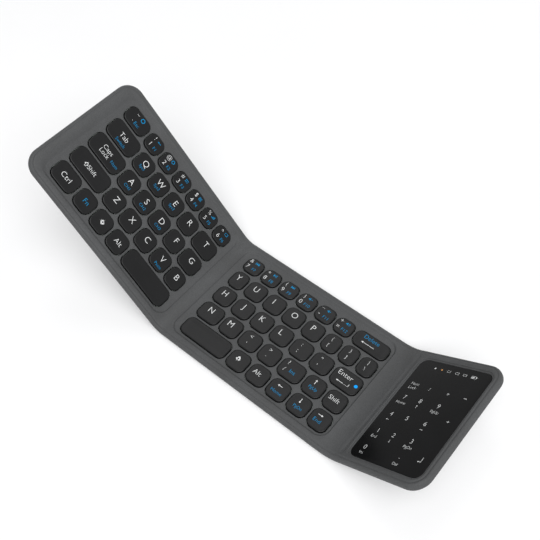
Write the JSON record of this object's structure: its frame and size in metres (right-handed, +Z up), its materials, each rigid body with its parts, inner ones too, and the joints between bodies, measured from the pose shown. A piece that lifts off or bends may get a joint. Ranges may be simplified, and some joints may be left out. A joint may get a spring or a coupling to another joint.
{
  "type": "folding keyboard",
  "caption": "Pocket keyboard of three leather-covered panels that fold on each other: two panels of split keys and one with a touchpad.",
  "frame": {"origin": "centre of the middle panel's flat underside, on the surface that it lies on", "axes": "+X to the typist's right along the keyboard's length, +Y to the back, +Z up out of the middle panel's keys"},
  "size_m": [0.3118, 0.098, 0.1045],
  "materials": {
    "leather": "smooth fine-grained grey imitation leather over a thin foam",
    "keycap": "satin black moulded plastic with white and blue printed legends",
    "printed_glass": "glass printed black on its back, satin front",
    "aluminium_board": "plain rolled sheet",
    "steel_plate": "zinc-coated sheet",
    "membrane": "printed polyester film",
    "silicone": "translucent white silicone",
    "black_plastic": "black moulded plastic",
    "magnet": "nickel plated",
    "circuit_board": "solder mask",
    "clear_plastic": "clear acrylic",
    "battery_foil": "foil pouch",
    "socket_steel": "bright drawn steel",
    "ribbon_film": "amber polyimide film"
  },
  "bodies": {
    "middle_panel": {"middle_back_cover": "leather", "middle_top_cover": "leather", "middle_stiffener": "aluminium_board", "middle_support_plate": "steel_plate", "middle_membrane": "membrane", "middle_key_lattice": "black_plastic", "middle_rubber_domes": "silicone", "middle_scissor_links": "black_plastic", "middle_magnets": "magnet", "left_bend_outer_leather": "leather", "left_bend_inner_leather": "leather", "left_ribbon_cable": "ribbon_film", "right_bend_outer_leather": "leather", "right_bend_inner_leather": "leather", "right_ribbon_cable": "ribbon_film"},
    "left_panel": {"left_back_cover": "leather", "left_top_cover": "leather", "left_stiffener": "aluminium_board", "left_support_plate": "steel_plate", "left_membrane": "membrane", "left_key_lattice": "black_plastic", "left_rubber_domes": "silicone", "left_scissor_links": "black_plastic", "left_magnets": "magnet"},
    "right_panel": {"right_back_cover": "leather", "right_top_cover": "leather", "right_stiffener": "aluminium_board", "touchpad_frame": "black_plastic", "touchpad_glass": "printed_glass", "touchpad_sensor": "circuit_board", "indicator_lights": "clear_plastic", "main_board": "circuit_board", "battery": "battery_foil", "usb_socket": "socket_steel", "right_magnet": "magnet"},
    "esc_key": {"esc_key": "keycap"},
    "left_digit_keys": {"left_digit_keys": "keycap"},
    "tab_key": {"tab_key": "keycap"},
    "left_upper_letter_keys": {"left_upper_letter_keys": "keycap"},
    "caps_lock_key": {"caps_lock_key": "keycap"},
    "left_home_letter_keys": {"left_home_letter_keys": "keycap"},
    "left_shift_key": {"left_shift_key": "keycap"},
    "left_lower_letter_keys": {"left_lower_letter_keys": "keycap"},
    "ctrl_key": {"ctrl_key": "keycap"},
    "fn_key": {"fn_key": "keycap"},
    "left_modifier_keys": {"left_modifier_keys": "keycap"},
    "left_space_key": {"left_space_key": "keycap"},
    "right_digit_keys": {"right_digit_keys": "keycap"},
    "backspace_key": {"backspace_key": "keycap"},
    "right_upper_letter_keys": {"right_upper_letter_keys": "keycap"},
    "right_home_letter_keys": {"right_home_letter_keys": "keycap"},
    "enter_key": {"enter_key": "keycap"},
    "right_lower_letter_keys": {"right_lower_letter_keys": "keycap"},
    "up_arrow_key": {"up_arrow_key": "keycap"},
    "right_shift_key": {"right_shift_key": "keycap"},
    "right_space_key": {"right_space_key": "keycap"},
    "right_modifier_keys": {"right_modifier_keys": "keycap"},
    "left_arrow_key": {"left_arrow_key": "keycap"},
    "down_arrow_key": {"down_arrow_key": "keycap"},
    "right_arrow_key": {"right_arrow_key": "keycap"}
  },
  "joints": [
    {"name": "left_fold", "type": "hinge", "parent": "middle_panel", "child": "left_panel", "pos_m": [-0.07155, 0, 0.0065], "axis": [0, 1, 0], "range_deg": [-44.4, 135.6], "deforming": ["left_bend_outer_leather", "left_bend_inner_leather", "left_ribbon_cable"]},
    {"name": "right_fold", "type": "hinge", "parent": "middle_panel", "child": "right_panel", "pos_m": [0.07058, 0, 0.0099], "axis": [0, -1, 0], "range_deg": [-34, 146], "deforming": ["right_bend_outer_leather", "right_bend_inner_leather", "right_ribbon_cable"]},
    {"name": "esc_key_press", "type": "slide", "parent": "left_panel", "child": "esc_key", "axis": [-0.6997, 0, -0.7145], "range_m": [0, 0.0013], "stiffness_N_per_m": 200, "deforming": ["left_rubber_domes", "left_scissor_links"]},
    {"name": "left_digit_keys_press", "type": "slide", "parent": "left_panel", "child": "left_digit_keys", "axis": [-0.6997, 0, -0.7145], "range_m": [0, 0.0013], "stiffness_N_per_m": 200, "deforming": ["left_rubber_domes", "left_scissor_links"]},
    {"name": "tab_key_press", "type": "slide", "parent": "left_panel", "child": "tab_key", "axis": [-0.6997, 0, -0.7145], "range_m": [0, 0.0013], "stiffness_N_per_m": 200, "deforming": ["left_rubber_domes", "left_scissor_links"]},
    {"name": "left_upper_letter_keys_press", "type": "slide", "parent": "left_panel", "child": "left_upper_letter_keys", "axis": [-0.6997, 0, -0.7145], "range_m": [0, 0.0013], "stiffness_N_per_m": 200, "deforming": ["left_rubber_domes", "left_scissor_links"]},
    {"name": "caps_lock_key_press", "type": "slide", "parent": "left_panel", "child": "caps_lock_key", "axis": [-0.6997, 0, -0.7145], "range_m": [0, 0.0013], "stiffness_N_per_m": 200, "deforming": ["left_rubber_domes", "left_scissor_links"]},
    {"name": "left_home_letter_keys_press", "type": "slide", "parent": "left_panel", "child": "left_home_letter_keys", "axis": [-0.6997, 0, -0.7145], "range_m": [0, 0.0013], "stiffness_N_per_m": 200, "deforming": ["left_rubber_domes", "left_scissor_links"]},
    {"name": "left_shift_key_press", "type": "slide", "parent": "left_panel", "child": "left_shift_key", "axis": [-0.6997, 0, -0.7145], "range_m": [0, 0.0013], "stiffness_N_per_m": 200, "deforming": ["left_rubber_domes", "left_scissor_links"]},
    {"name": "left_lower_letter_keys_press", "type": "slide", "parent": "left_panel", "child": "left_lower_letter_keys", "axis": [-0.6997, 0, -0.7145], "range_m": [0, 0.0013], "stiffness_N_per_m": 200, "deforming": ["left_rubber_domes", "left_scissor_links"]},
    {"name": "ctrl_key_press", "type": "slide", "parent": "left_panel", "child": "ctrl_key", "axis": [-0.6997, 0, -0.7145], "range_m": [0, 0.0013], "stiffness_N_per_m": 200, "deforming": ["left_rubber_domes", "left_scissor_links"]},
    {"name": "fn_key_press", "type": "slide", "parent": "left_panel", "child": "fn_key", "axis": [-0.6997, 0, -0.7145], "range_m": [0, 0.0013], "stiffness_N_per_m": 200, "deforming": ["left_rubber_domes", "left_scissor_links"]},
    {"name": "left_modifier_keys_press", "type": "slide", "parent": "left_panel", "child": "left_modifier_keys", "axis": [-0.6997, 0, -0.7145], "range_m": [0, 0.0013], "stiffness_N_per_m": 200, "deforming": ["left_rubber_domes", "left_scissor_links"]},
    {"name": "left_space_key_press", "type": "slide", "parent": "left_panel", "child": "left_space_key", "axis": [-0.6997, 0, -0.7145], "range_m": [0, 0.0013], "stiffness_N_per_m": 200, "deforming": ["left_rubber_domes", "left_scissor_links"]},
    {"name": "right_digit_keys_press", "type": "slide", "parent": "middle_panel", "child": "right_digit_keys", "axis": [0, 0, -1], "range_m": [0, 0.0013], "stiffness_N_per_m": 200, "deforming": ["middle_rubber_domes", "middle_scissor_links"]},
    {"name": "backspace_key_press", "type": "slide", "parent": "middle_panel", "child": "backspace_key", "axis": [0, 0, -1], "range_m": [0, 0.0013], "stiffness_N_per_m": 200, "deforming": ["middle_rubber_domes", "middle_scissor_links"]},
    {"name": "right_upper_letter_keys_press", "type": "slide", "parent": "middle_panel", "child": "right_upper_letter_keys", "axis": [0, 0, -1], "range_m": [0, 0.0013], "stiffness_N_per_m": 200, "deforming": ["middle_rubber_domes", "middle_scissor_links"]},
    {"name": "right_home_letter_keys_press", "type": "slide", "parent": "middle_panel", "child": "right_home_letter_keys", "axis": [0, 0, -1], "range_m": [0, 0.0013], "stiffness_N_per_m": 200, "deforming": ["middle_rubber_domes", "middle_scissor_links"]},
    {"name": "enter_key_press", "type": "slide", "parent": "middle_panel", "child": "enter_key", "axis": [0, 0, -1], "range_m": [0, 0.0013], "stiffness_N_per_m": 200, "deforming": ["middle_rubber_domes", "middle_scissor_links"]},
    {"name": "right_lower_letter_keys_press", "type": "slide", "parent": "middle_panel", "child": "right_lower_letter_keys", "axis": [0, 0, -1], "range_m": [0, 0.0013], "stiffness_N_per_m": 200, "deforming": ["middle_rubber_domes", "middle_scissor_links"]},
    {"name": "up_arrow_key_press", "type": "slide", "parent": "middle_panel", "child": "up_arrow_key", "axis": [0, 0, -1], "range_m": [0, 0.0013], "stiffness_N_per_m": 200, "deforming": ["middle_rubber_domes", "middle_scissor_links"]},
    {"name": "right_shift_key_press", "type": "slide", "parent": "middle_panel", "child": "right_shift_key", "axis": [0, 0, -1], "range_m": [0, 0.0013], "stiffness_N_per_m": 200, "deforming": ["middle_rubber_domes", "middle_scissor_links"]},
    {"name": "right_space_key_press", "type": "slide", "parent": "middle_panel", "child": "right_space_key", "axis": [0, 0, -1], "range_m": [0, 0.0013], "stiffness_N_per_m": 200, "deforming": ["middle_rubber_domes", "middle_scissor_links"]},
    {"name": "right_modifier_keys_press", "type": "slide", "parent": "middle_panel", "child": "right_modifier_keys", "axis": [0, 0, -1], "range_m": [0, 0.0013], "stiffness_N_per_m": 200, "deforming": ["middle_rubber_domes", "middle_scissor_links"]},
    {"name": "left_arrow_key_press", "type": "slide", "parent": "middle_panel", "child": "left_arrow_key", "axis": [0, 0, -1], "range_m": [0, 0.0013], "stiffness_N_per_m": 200, "deforming": ["middle_rubber_domes", "middle_scissor_links"]},
    {"name": "down_arrow_key_press", "type": "slide", "parent": "middle_panel", "child": "down_arrow_key", "axis": [0, 0, -1], "range_m": [0, 0.0013], "stiffness_N_per_m": 200, "deforming": ["middle_rubber_domes", "middle_scissor_links"]},
    {"name": "right_arrow_key_press", "type": "slide", "parent": "middle_panel", "child": "right_arrow_key", "axis": [0, 0, -1], "range_m": [0, 0.0013], "stiffness_N_per_m": 200, "deforming": ["middle_rubber_domes", "middle_scissor_links"]}
  ]
}
